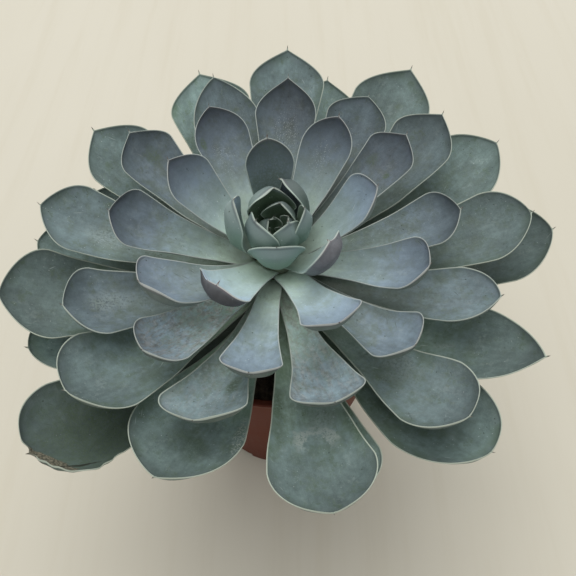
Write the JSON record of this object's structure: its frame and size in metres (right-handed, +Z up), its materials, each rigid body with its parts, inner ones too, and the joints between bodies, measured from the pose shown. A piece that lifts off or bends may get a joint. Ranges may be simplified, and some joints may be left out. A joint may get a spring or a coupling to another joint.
{
  "type": "potted echeveria",
  "caption": "Rosette of fleshy blue-grey spoon leaves on a short stem, growing in soil in a small tapered plastic nursery pot.",
  "frame": {"origin": "centre of the pot's flat underside", "axes": "+Z up along the pot's axis, -Y towards the viewer of the picture, +X to the viewer's right"},
  "size_m": [0.1551, 0.1493, 0.1274],
  "materials": {
    "heart_leaves": "waxy, powdery bloom over pale mint young leaves",
    "leaf_01": "waxy blue-grey bloom, matt, with a thin pale margin",
    "leaf_02": "waxy blue-grey bloom, matt, with a thin pale margin",
    "leaf_03": "waxy blue-grey bloom, matt, with a thin pale margin",
    "leaf_04": "waxy blue-grey bloom, matt, with a thin pale margin",
    "leaf_05": "waxy blue-grey bloom, matt, with a thin pale margin",
    "leaf_06": "waxy blue-grey bloom, matt, with a thin pale margin",
    "leaf_07": "waxy blue-grey bloom, matt, with a thin pale margin",
    "leaf_08": "waxy blue-grey bloom, matt, with a thin pale margin",
    "leaf_09": "waxy blue-grey bloom, matt, with a thin pale margin",
    "leaf_10": "waxy blue-grey bloom, matt, with a thin pale margin",
    "leaf_11": "waxy blue-grey bloom, matt, with a thin pale margin",
    "leaf_12": "waxy blue-grey bloom, matt, with a thin pale margin",
    "leaf_13": "waxy blue-grey bloom, matt, with a thin pale margin",
    "leaf_14": "waxy blue-grey bloom, matt, with a thin pale margin",
    "leaf_15": "waxy blue-grey bloom, matt, with a thin pale margin",
    "leaf_16": "waxy blue-grey bloom, matt, with a thin pale margin",
    "leaf_17": "waxy blue-grey bloom, matt, with a thin pale margin",
    "leaf_18": "waxy blue-grey bloom, matt, with a thin pale margin",
    "leaf_19": "waxy blue-grey bloom, matt, with a thin pale margin",
    "leaf_20": "waxy blue-grey bloom, matt, with a thin pale margin",
    "leaf_21": "waxy blue-grey bloom, matt, with a thin pale margin",
    "leaf_22": "waxy blue-grey bloom, matt, with a thin pale margin",
    "leaf_23": "waxy blue-grey bloom, matt, with a thin pale margin",
    "leaf_24": "waxy blue-grey bloom, matt, with a thin pale margin",
    "leaf_25": "waxy blue-grey bloom, matt, with a thin pale margin",
    "leaf_26": "waxy blue-grey bloom, matt, with a thin pale margin",
    "leaf_27": "waxy blue-grey bloom, matt, with a thin pale margin",
    "leaf_28": "waxy blue-grey bloom, matt, with a thin pale margin",
    "leaf_29": "waxy blue-grey bloom, matt, with a thin pale margin",
    "leaf_30": "waxy blue-grey bloom, matt, with a thin pale margin",
    "leaf_31": "waxy blue-grey bloom, matt, with a thin pale margin",
    "leaf_32": "waxy blue-grey bloom, matt, with a thin pale margin",
    "leaf_33": "waxy blue-grey bloom, matt, with a thin pale margin",
    "leaf_34": "waxy blue-grey bloom, matt, with a thin pale margin",
    "leaf_35": "waxy blue-grey bloom, matt, with a thin pale margin",
    "leaf_36": "waxy blue-grey bloom, matt, with a thin pale margin",
    "leaf_37": "waxy blue-grey bloom, matt, with a thin pale margin",
    "leaf_38": "waxy blue-grey bloom, matt, with a thin pale margin",
    "leaf_39": "waxy blue-grey bloom, matt, with a thin pale margin",
    "leaf_40": "waxy blue-grey bloom, matt, with a thin pale margin",
    "leaf_41": "waxy blue-grey bloom, matt, with a thin pale margin",
    "leaf_42": "waxy blue-grey bloom, matt, with a thin pale margin",
    "leaf_43": "waxy blue-grey bloom, matt, with a thin pale margin",
    "leaf_44": "waxy blue-grey bloom, matt, with a thin pale margin",
    "leaf_45": "waxy blue-grey bloom, matt, with a thin pale margin",
    "leaf_46": "waxy blue-grey bloom, matt, with a thin pale margin",
    "leaf_47": "waxy blue-grey bloom, matt, with a thin pale margin",
    "leaf_48": "waxy blue-grey bloom, matt, with a thin pale margin",
    "leaf_49": "waxy blue-grey bloom, matt, with a thin pale margin",
    "leaf_50": "waxy blue-grey bloom, matt, with a thin pale margin",
    "stem": "dry brown bark with old leaf scars",
    "soil": "dark crumbly potting mix",
    "pot": "satin terracotta-brown plastic"
  },
  "bodies": {
    "root": {"heart_leaves": "heart_leaves", "leaf_01": "leaf_01", "leaf_02": "leaf_02", "leaf_03": "leaf_03", "leaf_04": "leaf_04", "leaf_05": "leaf_05", "leaf_06": "leaf_06", "leaf_07": "leaf_07", "leaf_08": "leaf_08", "leaf_09": "leaf_09", "leaf_10": "leaf_10", "leaf_11": "leaf_11", "leaf_12": "leaf_12", "leaf_13": "leaf_13", "leaf_14": "leaf_14", "leaf_15": "leaf_15", "leaf_16": "leaf_16", "leaf_17": "leaf_17", "leaf_18": "leaf_18", "leaf_19": "leaf_19", "leaf_20": "leaf_20", "leaf_21": "leaf_21", "leaf_22": "leaf_22", "leaf_23": "leaf_23", "leaf_24": "leaf_24", "leaf_25": "leaf_25", "leaf_26": "leaf_26", "leaf_27": "leaf_27", "leaf_28": "leaf_28", "leaf_29": "leaf_29", "leaf_30": "leaf_30", "leaf_31": "leaf_31", "leaf_32": "leaf_32", "leaf_33": "leaf_33", "leaf_34": "leaf_34", "leaf_35": "leaf_35", "leaf_36": "leaf_36", "leaf_37": "leaf_37", "leaf_38": "leaf_38", "leaf_39": "leaf_39", "leaf_40": "leaf_40", "leaf_41": "leaf_41", "leaf_42": "leaf_42", "leaf_43": "leaf_43", "leaf_44": "leaf_44", "leaf_45": "leaf_45", "leaf_46": "leaf_46", "leaf_47": "leaf_47", "leaf_48": "leaf_48", "leaf_49": "leaf_49", "leaf_50": "leaf_50", "stem": "stem", "soil": "soil", "pot": "pot"}
  },
  "joints": []
}
